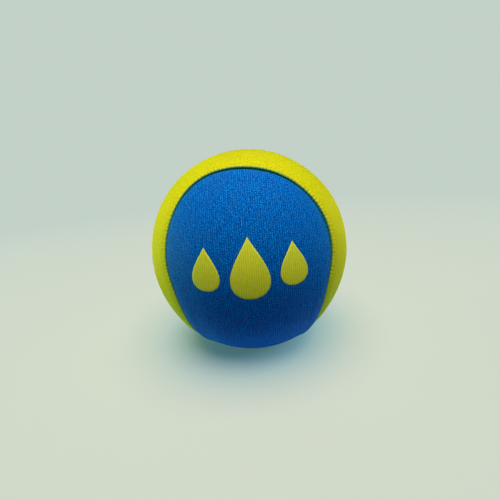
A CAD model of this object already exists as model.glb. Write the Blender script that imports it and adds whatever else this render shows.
"""Looks of a soft water ball: two interlocking stretch-knit panels sewn round a gel core."""
import math

import bmesh
import bpy
import numpy as np
from mathutils import Matrix, Vector


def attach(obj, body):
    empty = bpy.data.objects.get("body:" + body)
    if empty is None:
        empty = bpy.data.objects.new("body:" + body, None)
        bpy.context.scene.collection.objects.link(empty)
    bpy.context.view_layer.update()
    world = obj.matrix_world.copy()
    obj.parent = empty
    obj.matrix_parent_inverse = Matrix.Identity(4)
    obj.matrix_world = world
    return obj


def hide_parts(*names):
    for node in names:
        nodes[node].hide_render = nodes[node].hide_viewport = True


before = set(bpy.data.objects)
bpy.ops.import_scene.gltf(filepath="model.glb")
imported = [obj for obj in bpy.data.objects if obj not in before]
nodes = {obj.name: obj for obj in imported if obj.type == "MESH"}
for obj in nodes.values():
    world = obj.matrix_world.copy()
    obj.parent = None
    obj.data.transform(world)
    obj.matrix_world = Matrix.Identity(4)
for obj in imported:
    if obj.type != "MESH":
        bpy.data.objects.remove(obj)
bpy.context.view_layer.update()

# Sizes in millimetres and angles in radians, after the CAD source
MM = 0.001
BALL_R = 28.0
REST_FLAT = 0.5
COVER_T = 0.7
LOBE_LEAN = math.radians(12)
SEAM_A = math.acos(math.cos(LOBE_LEAN) * math.sqrt(0.5))
SEAM_SWING = math.atan(math.sin(LOBE_LEAN))
CREASE_R = 0.2
FOLD_R = CREASE_R + COVER_T
SEAM_GAP = 0.1
HEM_W = 4.0
RAIL_R = BALL_R - FOLD_R
FOLD_A = math.asin((FOLD_R + SEAM_GAP / 2) / RAIL_R)
HEM_R = BALL_R - 2 * FOLD_R
HEM_A = HEM_W / HEM_R
FLOOR_Z = REST_FLAT - BALL_R

# Turns the blue panel's arrangement into the lime panel's
HALF_TURN = np.array([[0, -1, 0], [-1, 0, 0], [0, 0, -1]], float)

# Puckers, where the stitches draw the cover in: how many there are, how unevenly they are placed and
# pulled, how narrow they are, and how far they reach over the crown
PUCKERS_PER_ARC = 80
PUCKER_SLIP = 0.16
PUCKER_PULLS = (0.55, 1.1)
PUCKER_SHARPNESS = 1.5
PUCKER_FADE = 0.55

# Share of the pull that the turned edge takes, and the sine of the angle down it at which that ends
EDGE_PULL = 0.9
EDGE_PULL_END = 0.6

# How square the turned edge is, where an edge of 2 is round, and the ridge that stands beside it
ROUND = 2.0
EDGE_SQUARENESS = 5.0
RIDGE_AT = 1.7
RIDGE_W = 1.5

# Height over which the pressed flat runs out into the round ball
PRESS_BLEND = 0.12

# Shoulder of the front lobe that is sewn further out than the even cut: its place on the seam's
# front arc, how far out it lies, and how far along the cover that reaches
SHOULDER_AT = math.radians(121)
SHOULDER_OUT = 1.8
SHOULDER_W = 10.0

# Unevenness of the soft ball: the way that it is longer, and by what share of its radius, and sets of
# waves, each with its phase to the radius and its height
LONG_WAY = np.array((-0.18, 0.26, 0.95))
LONGER = 0.016
SOFT_WAVES = ((2.0, 0.07), (3.4, 0.05), (6.5, 0.025), (11.0, 0.012))
WAVES_PER_SET = 4
SOFT_SEED = 7

# Mesh of a panel: every point along the seam is used next to it, and every second or fourth one
# further off, up to each share of the way to the panel's middle
POINTS_PER_ARC = 480
CROWN_STEPS = ((0.09, 1), (0.33, 2), (1.0, 4))
EDGE_STEPS = (1, 2)
HIDDEN_STEP = 4

# Rows of a panel's section, as shares of the way from the fold or as angles round it
CROWN_SHARES = np.linspace(1, 0, 47) ** 1.6
EDGE_ANGLES = np.radians(np.linspace(84, -90, 25))
UNDER_HEM_SHARES = np.linspace(0.2, 1, 5)
HEM_END_SHARE = 1.05
OVER_HEM_SHARES = np.linspace(1, 0.1, 5)
CREASE_ANGLES = np.radians(np.linspace(-80, 80, 7))
INNER_SHARES = np.linspace(0, 1, 15) ** 1.4

# Name of the mesh attribute for the part of a turned edge that lies in the seam's shade, and the
# angles round the edge between which it sets in
TUCK = "tuck"
TUCK_FROM, TUCK_TO = math.radians(79), math.radians(47)

# Distance, in metres, within which points of a mesh are joined
WELD = 1e-7


# Seam and panels

def lobe_frames():
    """Axes of the front, left, back and right arcs: columns to local X, the lobe's top and its axis."""
    lean, rise = math.cos(LOBE_LEAN), math.sin(LOBE_LEAN)
    front = np.array([[1, 0, 0], [0, rise, -lean], [0, lean, rise]], float)
    back = np.diag([-1.0, -1.0, 1.0]) @ front
    return [front, HALF_TURN @ back, back, HALF_TURN @ front]


class Seam:
    """The seam round a panel, walked along the front, left, back and right arcs."""

    def __init__(self):
        steps = np.arange(POINTS_PER_ARC) / POINTS_PER_ARC
        forward = -SEAM_SWING + steps * (math.pi + 2 * SEAM_SWING)
        backward = math.pi - forward
        self.count = 4 * POINTS_PER_ARC
        self.along = np.arange(self.count) / POINTS_PER_ARC
        self.frames = np.repeat(lobe_frames(), POINTS_PER_ARC, axis=0)
        self.turn = np.concatenate([forward, backward, forward, backward])
        # The panel lies inside the arcs of its own lobes, -1, and outside the other two, +1
        self.side = np.repeat([-1.0, 1.0, -1.0, 1.0], POINTS_PER_ARC)
        # Angle from the seam to the middle of the lobe or of the waist
        to_waist = np.arctan2(1 / math.tan(LOBE_LEAN), np.sin(self.turn)) - SEAM_A
        self.reach = np.where(self.side < 0, SEAM_A, to_waist)

    def points(self, offset, radius):
        """Points at an angle into the panel from the seam and at a radius from the ball's centre."""
        polar = SEAM_A + self.side * offset
        local = np.stack([np.sin(polar) * np.cos(self.turn), np.sin(polar) * np.sin(self.turn),
                          np.cos(polar)], axis=1)
        return np.einsum("nij,nj->ni", self.frames, local) * np.reshape(radius, (-1, 1))


def sewn(points):
    """Points of the cover moved along with the front lobe's shoulder, at their own height."""
    front = lobe_frames()[0]
    swing = np.array([math.cos(SHOULDER_AT), math.sin(SHOULDER_AT), 0])
    axis = np.array([0, 0, 1])
    middle = front @ (math.sin(SEAM_A) * swing + math.cos(SEAM_A) * axis)
    outward = front @ (math.cos(SEAM_A) * swing - math.sin(SEAM_A) * axis)
    height = np.linalg.norm(points, axis=1, keepdims=True)
    unit = points / height
    away = np.linalg.norm(unit - middle, axis=1, keepdims=True) * BALL_R
    moved = unit + SHOULDER_OUT / BALL_R * np.exp(-(away / SHOULDER_W) ** 2) * outward
    return moved * height / np.linalg.norm(moved, axis=1, keepdims=True)


def wander(values, at):
    """Smoothly joins values, one for each step along a closed line."""
    low = np.floor(at).astype(int)
    part = at - low
    part = part * part * (3 - 2 * part)
    return values[low % len(values)] * (1 - part) + values[(low + 1) % len(values)] * part


def pucker_depths(seam, seed):
    """How far each place along the seam is drawn in by its stitch, from 0 to about 1."""
    rng = np.random.default_rng(seed)
    n = 4 * PUCKERS_PER_ARC
    at = seam.along * PUCKERS_PER_ARC
    slip = wander(rng.uniform(-PUCKER_SLIP, PUCKER_SLIP, n), at)
    pull = wander(rng.uniform(*PUCKER_PULLS, n), at)
    return pull * (0.5 + 0.5 * np.cos(2 * math.pi * (at + slip))) ** PUCKER_SHARPNESS


def softness(points, long_way):
    """Unevenness of the soft ball, in millimetres, for points on it and the way that it is longer."""
    unit = points / np.linalg.norm(points, axis=1, keepdims=True)
    rng = np.random.default_rng(SOFT_SEED)
    along = unit @ long_way / np.linalg.norm(long_way)
    # Further out at both ends, and half as far in around the middle, so that the mean radius stays
    total = LONGER * BALL_R * (1.5 * along ** 2 - 0.5)
    for phase, height in SOFT_WAVES:
        for _ in range(WAVES_PER_SET):
            way = rng.normal(size=3)
            way *= phase / np.linalg.norm(way)
            total += height * np.sin(unit @ way + rng.uniform(0, 2 * math.pi))
    return total


def pressed(points, radius):
    """Points of one layer of the cover with the ball's rest pressed flat."""
    floor = FLOOR_Z + BALL_R - radius
    points[:, 2] = floor + PRESS_BLEND * np.logaddexp(0, (points[:, 2] - floor) / PRESS_BLEND)
    return points


def panel_rows(seam, puckers, pull, ridge, waist_ridge, rests, long_way):
    """Closed rows of points along a panel's seam, each with how far it is tucked into the seam.

    They run over the crown, the turned edge, the hem, the crease and the inner face.
    """
    rows = []
    on_waist = np.where(seam.side > 0, np.sin(math.pi * (seam.along % 1)) ** 2, 0)
    ridges = ridge + (waist_ridge - ridge) * on_waist

    def keep(points, radius, step, tuck=0.0):
        rows.append(((pressed(points, radius) if rests else points)[::step], tuck))

    def add(offset, radius, step=HIDDEN_STEP, puckered=False):
        offset = np.broadcast_to(offset, seam.count)
        away = np.maximum(offset - FOLD_A, 0) * BALL_R
        full = radius + softness(seam.points(offset, np.full(seam.count, radius)), long_way)
        full += ridges * np.exp(-((away - RIDGE_AT) / RIDGE_W) ** 2)
        if puckered:
            full -= pull * puckers * np.exp(-(away / PUCKER_FADE) ** 2)
        keep(seam.points(offset, full), radius, step)

    def add_arc(radius, angle, step, squareness=ROUND, tuck=0.0):
        power = squareness if angle > 0 else ROUND
        corner = (abs(math.cos(angle)) ** power + abs(math.sin(angle)) ** power) ** (-1 / power)
        share = EDGE_PULL * radius / FOLD_R * max(0, math.sin(angle) + EDGE_PULL_END)
        shrunk = radius * corner - pull * share * puckers
        x = RAIL_R * math.sin(FOLD_A) - shrunk * math.cos(angle - FOLD_A)
        z = RAIL_R * math.cos(FOLD_A) + shrunk * math.sin(angle - FOLD_A)
        points = seam.points(np.arctan2(x, z), np.hypot(x, z))
        points *= 1 + (softness(points, long_way) / BALL_R)[:, None]
        keep(points, RAIL_R, step, tuck)

    def crown(share):
        return FOLD_A + (seam.reach - FOLD_A) * share

    for share in CROWN_SHARES:
        step = next(step for most, step in CROWN_STEPS if share <= most)
        add(crown(share), BALL_R, step, puckered=True)
    for angle in EDGE_ANGLES:
        tuck = np.clip((TUCK_FROM - angle) / (TUCK_FROM - TUCK_TO), 0, 1)
        add_arc(FOLD_R, angle, EDGE_STEPS[0] if angle > 0 else EDGE_STEPS[1], EDGE_SQUARENESS, tuck)
    for share in UNDER_HEM_SHARES:
        add(FOLD_A + HEM_A * share, HEM_R)
    add(FOLD_A + HEM_A * HEM_END_SHARE, HEM_R + COVER_T / 2)
    for share in OVER_HEM_SHARES:
        add(FOLD_A + HEM_A * share, HEM_R + COVER_T)
    for angle in CREASE_ANGLES:
        add_arc(CREASE_R, angle, HIDDEN_STEP)
    for share in INNER_SHARES:
        add(crown(share), BALL_R - COVER_T)
    return rows


def mesh_object(name, points, faces, tucks=None):
    """Smooth object of points in millimetres, with points that coincide joined."""
    mesh = bpy.data.meshes.new(name)
    mesh.from_pydata([tuple(p) for p in points * MM], [], faces)
    if tucks is not None:
        mesh.attributes.new(TUCK, "FLOAT", "POINT").data.foreach_set("value", tucks)
    work = bmesh.new()
    work.from_mesh(mesh)
    bmesh.ops.remove_doubles(work, verts=work.verts, dist=WELD)
    bmesh.ops.recalc_face_normals(work, faces=work.faces)
    for face in work.faces:
        face.smooth = True
    work.to_mesh(mesh)
    work.free()
    obj = bpy.data.objects.new(name, mesh)
    bpy.context.scene.collection.objects.link(obj)
    return obj


def ring_faces(counts):
    """Faces between closed rows of points, where a row has as many as the next, double or half."""
    faces = []
    start = 0
    for count, following in zip(counts, counts[1:]):
        rows = [(start, count), (start + count, following)]
        (fine, many), (coarse, few) = rows if count >= following else reversed(rows)
        for j in range(few):
            left, right = coarse + j, coarse + (j + 1) % few
            if many == few:
                faces.append((fine + j, fine + (j + 1) % many, right, left))
            else:
                middle = fine + 2 * j + 1
                faces.append((middle - 1, middle, left))
                faces.append((middle, fine + (2 * j + 2) % many, right, left))
        start += count
    return faces


def make_panel(name, seed, pull, ridge, waist_ridge, turn, rests):
    """Cover of one panel, with the depth of its puckers and the height of its ridges."""
    seam = Seam()
    puckers = pucker_depths(seam, seed)
    rows = panel_rows(seam, puckers, pull, ridge, waist_ridge, rests, long_way=turn.T @ LONG_WAY)
    points = sewn(np.concatenate([row for row, _ in rows]) @ turn.T)
    counts = [len(row) for row, _ in rows]
    tucks = np.repeat([tuck for _, tuck in rows], counts)
    return mesh_object(name, points, ring_faces(counts), tucks)


# Print

DROP_H, DROP_W, SIDE_DROP, DROP_PITCH, PRINT_Z = 14.0, 9.0, 0.72, 10.0, 3.0
DROP_TAPER = 1.4
DROP_POINTS = 160

# Rings of a drop's film, from its middle over the top and back underneath: share of the outline, and
# height over the cover. They lie about a point this share of the drop's height below its centre.
INK_TOP, INK_FOOT = 0.08, -0.06
INK_RINGS = ((0.0, INK_TOP), (0.25, INK_TOP), (0.5, INK_TOP), (0.7, INK_TOP), (0.84, INK_TOP),
             (0.93, 0.95 * INK_TOP), (0.975, 0.7 * INK_TOP), (1.0, 0.1 * INK_TOP),
             (0.99, INK_FOOT), (0.6, INK_FOOT), (0.3, INK_FOOT), (0.0, INK_FOOT))
RINGS_BELOW = 0.12


def drop_outline(width, height):
    """Teardrop outline, point up."""
    angle = np.arange(DROP_POINTS) * 2 * math.pi / DROP_POINTS
    reach = np.sin(angle) * np.abs(np.sin(angle / 2)) ** DROP_TAPER
    return np.stack([width / 2 * reach / reach.max(), height / 2 * np.cos(angle)], axis=1)


def make_print(name):
    """Three drops of ink, as thin closed films that lie on the front lobe."""
    rows, faces = [], []
    drop_faces = ring_faces([DROP_POINTS] * len(INK_RINGS))
    for x, size in ((0, 1), (-DROP_PITCH, SIDE_DROP), (DROP_PITCH, SIDE_DROP)):
        base = len(rows) * DROP_POINTS
        faces += [tuple(base + i for i in face) for face in drop_faces]
        outline = drop_outline(DROP_W * size, DROP_H * size)
        middle = np.array([0, -RINGS_BELOW * DROP_H * size])
        for share, height in INK_RINGS:
            flat = middle + (outline - middle) * share + np.array([x, PRINT_Z])
            depth = np.sqrt(BALL_R ** 2 - (flat ** 2).sum(axis=1))
            on_ball = np.stack([flat[:, 0], -depth, flat[:, 1]], axis=1)
            radius = BALL_R + softness(on_ball, LONG_WAY) + height
            rows.append(on_ball * (radius / BALL_R)[:, None])
    return mesh_object(name, np.concatenate(rows), faces)


# Materials

# Colour sockets of the Mix node, which share their names with its other kinds of socket
MIX_A, MIX_B, MIX_RESULT = 6, 7, 2

# Range that most values of a noise texture lie in
NOISE_RANGE = (0.3, 0.7)

# Knit, in millimetres: its columns and rows of loops. Then how far a column strays, compared with
# its pitch, and how high a loop is, compared with its column.
WALE_PITCH = 0.5
COURSE_PITCH = 0.4
WALE_DRIFT = 0.5
LOOP_H = 0.22

# Tones over which the yarn goes from dark to plain and from plain to light, and how far the furrows
# and the ridges of its columns go down and up in tone, compared with the share of the columns
DARK_TONES = (0.36, 0.49)
LIGHT_TONES = (0.5, 0.64)
COLUMN_TONES = np.array((-0.7, 0.3))


def srgb(red, green, blue):
    """Linear colour of an 8-bit one."""
    def linear(value):
        value /= 255
        return value / 12.92 if value <= 0.04045 else ((value + 0.055) / 1.055) ** 2.4
    return (linear(red), linear(green), linear(blue), 1.0)


SEAM_SHADE = srgb(30, 128, 112)


class Graph:
    """Shader nodes of one material or world, built from short calls."""

    def __init__(self, owner, shader="BSDF_PRINCIPLED", output="OUTPUT_MATERIAL"):
        owner.use_nodes = True
        self.tree = owner.node_tree
        self.shader = next(n for n in self.tree.nodes if n.type == shader)
        self.output = next(n for n in self.tree.nodes if n.type == output)

    def node(self, kind, inputs=(), **settings):
        made = self.tree.nodes.new(kind)
        for key, value in settings.items():
            setattr(made, key, value)
        for key, value in dict(inputs).items():
            self.feed(made.inputs[key], value)
        return made

    def feed(self, socket, value):
        """Links a socket to another one, or sets its constant value."""
        if isinstance(value, bpy.types.NodeSocket):
            self.tree.links.new(value, socket)
        else:
            socket.default_value = value

    def set(self, **inputs):
        """Feeds inputs of the shader, by their names with underscores for spaces."""
        for key, value in inputs.items():
            self.feed(self.shader.inputs[key.replace("_", " ")], value)

    def finish(self, surface):
        self.feed(self.output.inputs["Surface"], surface)

    def background_share(self):
        """1 for rays that show the background: from the camera, by reflection or through glass."""
        rays = self.node("ShaderNodeLightPath").outputs
        shown = self.math("MAXIMUM", rays["Is Camera Ray"], rays["Is Glossy Ray"])
        return self.math("MAXIMUM", shown, rays["Is Transmission Ray"])

    def math(self, operation, *values):
        return self.node("ShaderNodeMath", dict(enumerate(values)), operation=operation).outputs[0]

    def scaled(self, value, factor):
        return self.math("MULTIPLY", value, factor)

    def total(self, *parts):
        """Sum of values, each given with its factor."""
        result = 0.0
        for value, factor in parts:
            result = self.math("MULTIPLY_ADD", value, factor, result)
        return result

    def place(self):
        """Object coordinates in millimetres, as one vector."""
        place = self.node("ShaderNodeTexCoord").outputs["Object"]
        made = self.node("ShaderNodeVectorMath", {0: place, "Scale": 1 / MM}, operation="SCALE")
        return made.outputs[0]

    def position(self):
        """Object coordinates in millimetres, as three sockets."""
        return self.node("ShaderNodeSeparateXYZ", {0: self.place()}).outputs

    def vector(self, x, y):
        return self.node("ShaderNodeCombineXYZ", {0: x, 1: y}).outputs[0]

    def length(self, vector):
        made = self.node("ShaderNodeVectorMath", {0: vector}, operation="LENGTH")
        return made.outputs["Value"]

    def noise(self, vector, scale, detail, roughness=0.5):
        made = self.node("ShaderNodeTexNoise", {"Vector": vector, "Scale": scale, "Detail": detail,
                                                "Roughness": roughness})
        return made.outputs["Fac"]

    def span(self, value, over, to=(0.0, 1.0)):
        """Value mapped from one range to another, and held within it."""
        made = self.node("ShaderNodeMapRange", {"Value": value, "From Min": over[0], "From Max": over[1],
                                                "To Min": to[0], "To Max": to[1]})
        return made.outputs["Result"]

    def mix(self, share, first, second):
        made = self.node("ShaderNodeMix", data_type="RGBA")
        self.feed(made.inputs["Factor"], share)
        self.feed(made.inputs[MIX_A], first)
        self.feed(made.inputs[MIX_B], second)
        return made.outputs[MIX_RESULT]

    def bump(self, height, distance):
        """Bumps the shader's surface by a height, in millimetres for each unit of it."""
        made = self.node("ShaderNodeBump", {"Height": height, "Distance": distance * MM, "Strength": 1.0})
        self.feed(self.shader.inputs["Normal"], made.outputs[0])


def knit_lines(graph, lobe_axis, waist):
    """Position across the wales and along them, in millimetres, on a panel.

    The wales run from one lobe, on the given axis, over the waist, at +1 or -1 on Z, to the other.
    """
    place = graph.position()
    across = graph.math("ARCSINE", graph.scaled(place[1 - lobe_axis], 1 / BALL_R))
    along = graph.math("ARCTAN2", place[lobe_axis], graph.scaled(place[2], waist))
    return graph.scaled(across, BALL_R), graph.scaled(along, BALL_R)


def knit_relief(graph, across, along):
    """Ridges of the knit's columns, and the height of the slanted loops that make them up."""
    drift = graph.noise(graph.vector(across, along), scale=0.35, detail=3)
    column = graph.total((across, 1 / WALE_PITCH), (drift, WALE_DRIFT))
    ridge = graph.math("ABSOLUTE", graph.math("SINE", graph.scaled(column, math.pi)))
    slant = graph.math("PINGPONG", column, 0.5)
    course = graph.total((along, 1 / COURSE_PITCH), (slant, 1.0))
    loop = graph.math("SINE", graph.scaled(course, 2 * math.pi))
    return ridge, graph.total((ridge, 1.0), (loop, LOOP_H))


def knit(name, lobe_axis, waist, dark, plain, light, sheen, wale_share, grain, fuzz):
    """Stretch knit with wales, heathered yarn and a soft sheen."""
    material = bpy.data.materials.new(name)
    graph = Graph(material)
    across, along = knit_lines(graph, lobe_axis, waist)
    ridge, relief = knit_relief(graph, across, along)
    long_yarn = graph.vector(across, graph.scaled(along, 0.25))
    short_yarn = graph.vector(across, graph.scaled(along, 1.2))
    streaks = graph.noise(long_yarn, scale=1.6, detail=3, roughness=0.6)
    speckle = graph.noise(short_yarn, scale=grain, detail=2, roughness=0.8)
    heather = graph.total((streaks, 0.15), (speckle, 0.85))
    columns = graph.span(ridge, over=(0.0, 1.0), to=wale_share * COLUMN_TONES)
    tone = graph.math("ADD", heather, columns)
    low = graph.mix(graph.span(tone, DARK_TONES), dark, plain)
    cloth = graph.mix(graph.span(tone, LIGHT_TONES), low, light)
    tuck = graph.node("ShaderNodeAttribute", attribute_name=TUCK).outputs["Fac"]
    graph.set(Base_Color=graph.mix(tuck, cloth, SEAM_SHADE))
    graph.set(Roughness=graph.span(heather, NOISE_RANGE, to=(0.65, 0.5)))
    graph.set(Specular_IOR_Level=0.05, Specular_Tint=sheen)
    graph.set(Sheen_Weight=fuzz, Sheen_Roughness=0.4, Sheen_Tint=sheen)
    graph.bump(graph.total((relief, 1.0), (speckle, 0.6)), distance=0.05)
    return material


def ink(name, dark, plain):
    """Matt elastic ink that fills the blue knit and lets its columns show."""
    material = bpy.data.materials.new(name)
    graph = Graph(material)
    across, along = knit_lines(graph, lobe_axis=1, waist=-1)
    ridge, relief = knit_relief(graph, across, along)
    worn = graph.noise(graph.vector(across, along), scale=1.1, detail=4, roughness=0.65)
    cover = graph.total((worn, 0.8), (ridge, 0.4))
    graph.set(Base_Color=graph.mix(graph.span(cover, over=(0.35, 0.75)), dark, plain))
    graph.set(Roughness=graph.span(worn, NOISE_RANGE, to=(0.6, 0.75)))
    graph.bump(graph.total((relief, 1.0), (worn, 0.6)), distance=0.025)
    return material


def thread(name, dark, plain):
    """Twisted polyester sewing thread."""
    material = bpy.data.materials.new(name)
    graph = Graph(material)
    place = graph.place()
    fibre = graph.noise(place, scale=9.0, detail=3, roughness=0.7)
    ply = graph.node("ShaderNodeTexWave", {"Vector": place, "Scale": 2.6, "Distortion": 2.0},
                     wave_type="BANDS", bands_direction="DIAGONAL").outputs["Fac"]
    twist = graph.total((ply, 0.6), (fibre, 0.4))
    graph.set(Base_Color=graph.mix(twist, dark, plain))
    graph.set(Roughness=graph.span(fibre, NOISE_RANGE, to=(0.5, 0.75)), Sheen_Weight=0.2)
    graph.bump(twist, distance=0.03)
    return material


def gel(name, plain, cloudy):
    """Milky moulded gel with fine bubbles."""
    material = bpy.data.materials.new(name)
    graph = Graph(material)
    place = graph.place()
    cloud = graph.noise(place, scale=0.12, detail=4, roughness=0.6)
    bubble = graph.node("ShaderNodeTexVoronoi", {"Vector": place, "Scale": 0.8}).outputs["Distance"]
    graph.set(Base_Color=graph.mix(graph.span(cloud, over=(0.35, 0.65)), plain, cloudy))
    graph.set(Roughness=graph.span(bubble, over=(0.0, 0.6), to=(0.25, 0.42)))
    graph.set(Subsurface_Weight=0.4, Subsurface_Scale=0.004)
    graph.bump(graph.total((cloud, 1.0), (bubble, 0.2)), distance=0.06)
    return material


def paper(name, near, far, bounced, flagged):
    """Pale paper that fades into the backdrop and throws light on the ball mostly from close by.

    Near the ball's rest, and far from it, it has a colour and a least light that it shows in shadow.
    It throws none of that light on the ball.
    """
    material = bpy.data.materials.new(name)
    graph = Graph(material)
    x, y, _ = graph.position()
    flat = graph.vector(x, y)
    grain = graph.noise(flat, scale=0.02, detail=3)
    oval = graph.length(graph.vector(graph.scaled(x, FLAG_NARROWS), y))
    thrown = graph.mix(graph.span(oval, FLAG_FADE), bounced, flagged)
    shown = graph.background_share()
    shade = graph.length(graph.vector(graph.math("SUBTRACT", x, SHADE_X), y))
    away = graph.span(shade, SHADE_FADE)
    seen, lift = (graph.mix(away, first, last) for first, last in zip(near, far))
    graph.set(Base_Color=graph.mix(shown, thrown, seen), Specular_IOR_Level=0.1)
    graph.set(Roughness=graph.span(grain, NOISE_RANGE, to=(0.85, 0.95)))
    graph.set(Emission_Color=lift, Emission_Strength=shown)
    clear = graph.node("ShaderNodeBsdfTransparent")
    fade = graph.node("ShaderNodeMixShader", {0: graph.span(graph.length(flat), FLOOR_FADE),
                                              1: graph.shader.outputs[0], 2: clear.outputs[0]})
    graph.finish(fade.outputs[0])
    return material


def dress(obj, material):
    obj.data.materials.clear()
    obj.data.materials.append(material)


# Camera

# The photograph's frame, and the ball's mean radius and its centre there, in pixels
FRAME_PX = 500
BALL_PX = 97.9
BALL_AT = (249.3, 248.55)
VIEW_TILT, VIEW_YAW, VIEW_ROLL = (math.radians(a) for a in (15.5, -0.7, 4.8))
VIEW_DISTANCE = 3.57 * BALL_R
SENSOR_MM = 36.0
CLIP_M = (0.005, 20.0)


def make_camera():
    """Camera at the photograph's place: raised, close, and a little rolled."""
    turn = Matrix.Rotation(-VIEW_YAW, 3, "Z") @ Matrix.Rotation(-VIEW_TILT, 3, "X")
    right = turn @ Vector((math.cos(VIEW_ROLL), 0, -math.sin(VIEW_ROLL)))
    up = turn @ Vector((math.sin(VIEW_ROLL), 0, math.cos(VIEW_ROLL)))
    back = turn @ Vector((0, -1, 0))
    data = bpy.data.cameras.new("camera")
    focal_px = BALL_PX * math.sqrt((VIEW_DISTANCE / BALL_R) ** 2 - 1)
    data.sensor_width = SENSOR_MM
    data.lens = SENSOR_MM * focal_px / FRAME_PX
    data.shift_x = (FRAME_PX / 2 - BALL_AT[0]) / FRAME_PX
    data.shift_y = (BALL_AT[1] - FRAME_PX / 2) / FRAME_PX
    data.clip_start, data.clip_end = CLIP_M
    camera = bpy.data.objects.new("camera", data)
    place = Matrix((right, up, back)).transposed().to_4x4()
    place.translation = back * VIEW_DISTANCE * MM
    camera.matrix_world = place
    bpy.context.scene.collection.objects.link(camera)
    bpy.context.scene.camera = camera


# Floor and light

# Radii of the rings of the floor's mesh, and the number of its spokes
FLOOR_RINGS = (0.0, 50.0, 100.0, 200.0, 400.0, 800.0)
FLOOR_SPOKES = 64

# Distances from the ball's rest over which the floor fades into the backdrop, and over which it stops
# throwing light on the ball. The second are those to the front and back: sideways they are longer.
FLOOR_FADE = (45.0, 330.0)
FLAG_FADE = (24.0, 44.0)
FLAG_NARROWS = 0.4

# The ball's deep shade on the floor: its middle, and the distances from it over which it lightens
SHADE_X = -6.0
SHADE_FADE = (12.0, 24.0)


def make_floor():
    """Wide floor that fades into the room's own pale colour."""
    turns = np.arange(FLOOR_SPOKES) * 2 * math.pi / FLOOR_SPOKES
    rings = [np.stack([r * np.cos(turns), r * np.sin(turns), np.full(FLOOR_SPOKES, FLOOR_Z)], axis=1)
             for r in FLOOR_RINGS]
    floor = mesh_object("floor", np.concatenate(rings), ring_faces([FLOOR_SPOKES] * len(rings)))
    dress(floor, paper("pale_paper", near=(srgb(181, 185, 179), srgb(66, 102, 105)),
                       far=(srgb(163, 148, 116), srgb(118, 161, 172)),
                       bounced=srgb(172, 216, 240), flagged=srgb(6, 16, 40)))


def add_lamp(data, place, power, colour):
    """Puts a lamp at a place in metres, aimed at the ball."""
    data.energy, data.color = power, colour
    lamp = bpy.data.objects.new(data.name, data)
    lamp.location = place
    lamp.rotation_euler = (-Vector(place)).to_track_quat("-Z", "Y").to_euler()
    bpy.context.scene.collection.objects.link(lamp)


def area_light(name, size, place, power, colour):
    data = bpy.data.lights.new(name, "AREA")
    data.shape, data.size = "DISK", size
    add_lamp(data, place, power, colour)


def sun_light(name, spread, place, power, colour):
    data = bpy.data.lights.new(name, "SUN")
    data.angle = math.radians(spread)
    add_lamp(data, place, power, colour)


def make_room(seen, thrown, strength):
    """World that shows as a pale backdrop, and that lights the ball only a little."""
    world = bpy.data.worlds.new("room")
    graph = Graph(world, "BACKGROUND", "OUTPUT_WORLD")
    graph.set(Color=seen)
    light = graph.node("ShaderNodeBackground", {"Color": thrown, "Strength": strength})
    both = graph.node("ShaderNodeMixShader", {0: graph.background_share(), 1: light.outputs[0],
                                              2: graph.shader.outputs[0]})
    graph.finish(both.outputs[0])
    bpy.context.scene.world = world


def make_light():
    """Broad warm light from above, two small greenish lamps low at the sides, and the room."""
    sun_light("top_light", spread=58, place=(0.06, -0.17, 0.95), power=3.9, colour=(1.0, 0.88, 0.76))
    area_light("left_light", size=0.12, place=(-0.4, 0.13, -0.01), power=0.8, colour=(0.58, 1.0, 0.4))
    area_light("right_light", size=0.12, place=(0.38, 0.2, -0.01), power=0.3, colour=(0.35, 1.0, 0.4))
    make_room(seen=srgb(195, 209, 200), thrown=srgb(100, 190, 255), strength=0.04)


# Assembly

make_camera()
make_floor()
make_light()

blue = make_panel("blue_cover", seed=3, pull=0.05, ridge=0.08, waist_ridge=0.42,
                  turn=np.eye(3), rests=True)
lime = make_panel("lime_cover", seed=5, pull=0.1, ridge=0.12, waist_ridge=0.12,
                  turn=HALF_TURN, rests=False)
drops = make_print("front_drops")

dress(blue, knit("blue_knit", lobe_axis=1, waist=-1, dark=srgb(0, 44, 124), plain=srgb(2, 102, 214),
                 light=srgb(30, 168, 255), sheen=srgb(30, 140, 250),
                 wale_share=0.09, grain=2.8, fuzz=0.5))
dress(lime, knit("lime_knit", lobe_axis=0, waist=1, dark=srgb(170, 184, 0), plain=srgb(224, 230, 2),
                 light=srgb(255, 252, 50), sheen=srgb(250, 240, 40),
                 wale_share=0.08, grain=2.7, fuzz=0.7))
dress(drops, ink("lime_ink", dark=srgb(204, 226, 26), plain=srgb(238, 250, 48)))

dress(nodes["needle_thread"], thread("navy_thread", dark=srgb(4, 28, 62), plain=srgb(14, 58, 112)))
dress(nodes["bobbin_thread"], thread("olive_thread", dark=srgb(96, 110, 14), plain=srgb(158, 172, 36)))
dress(nodes["closing_thread"], thread("green_thread", dark=srgb(24, 70, 58), plain=srgb(60, 118, 98)))
dress(nodes["gel_core"], gel("milky_gel", plain=srgb(222, 224, 218), cloudy=srgb(236, 238, 232)))

# Each panel as it was cut, in metres and square metres, before it was stretched on the core
for piece, node, slot in ((blue, "blue_panel", "blue_knit"), (lime, "lime_panel", "lime_knit"),
                          (drops, "front_print", "print_ink")):
    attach(piece, "root")
    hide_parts(node)

bpy.context.scene.view_settings.view_transform = "Standard"
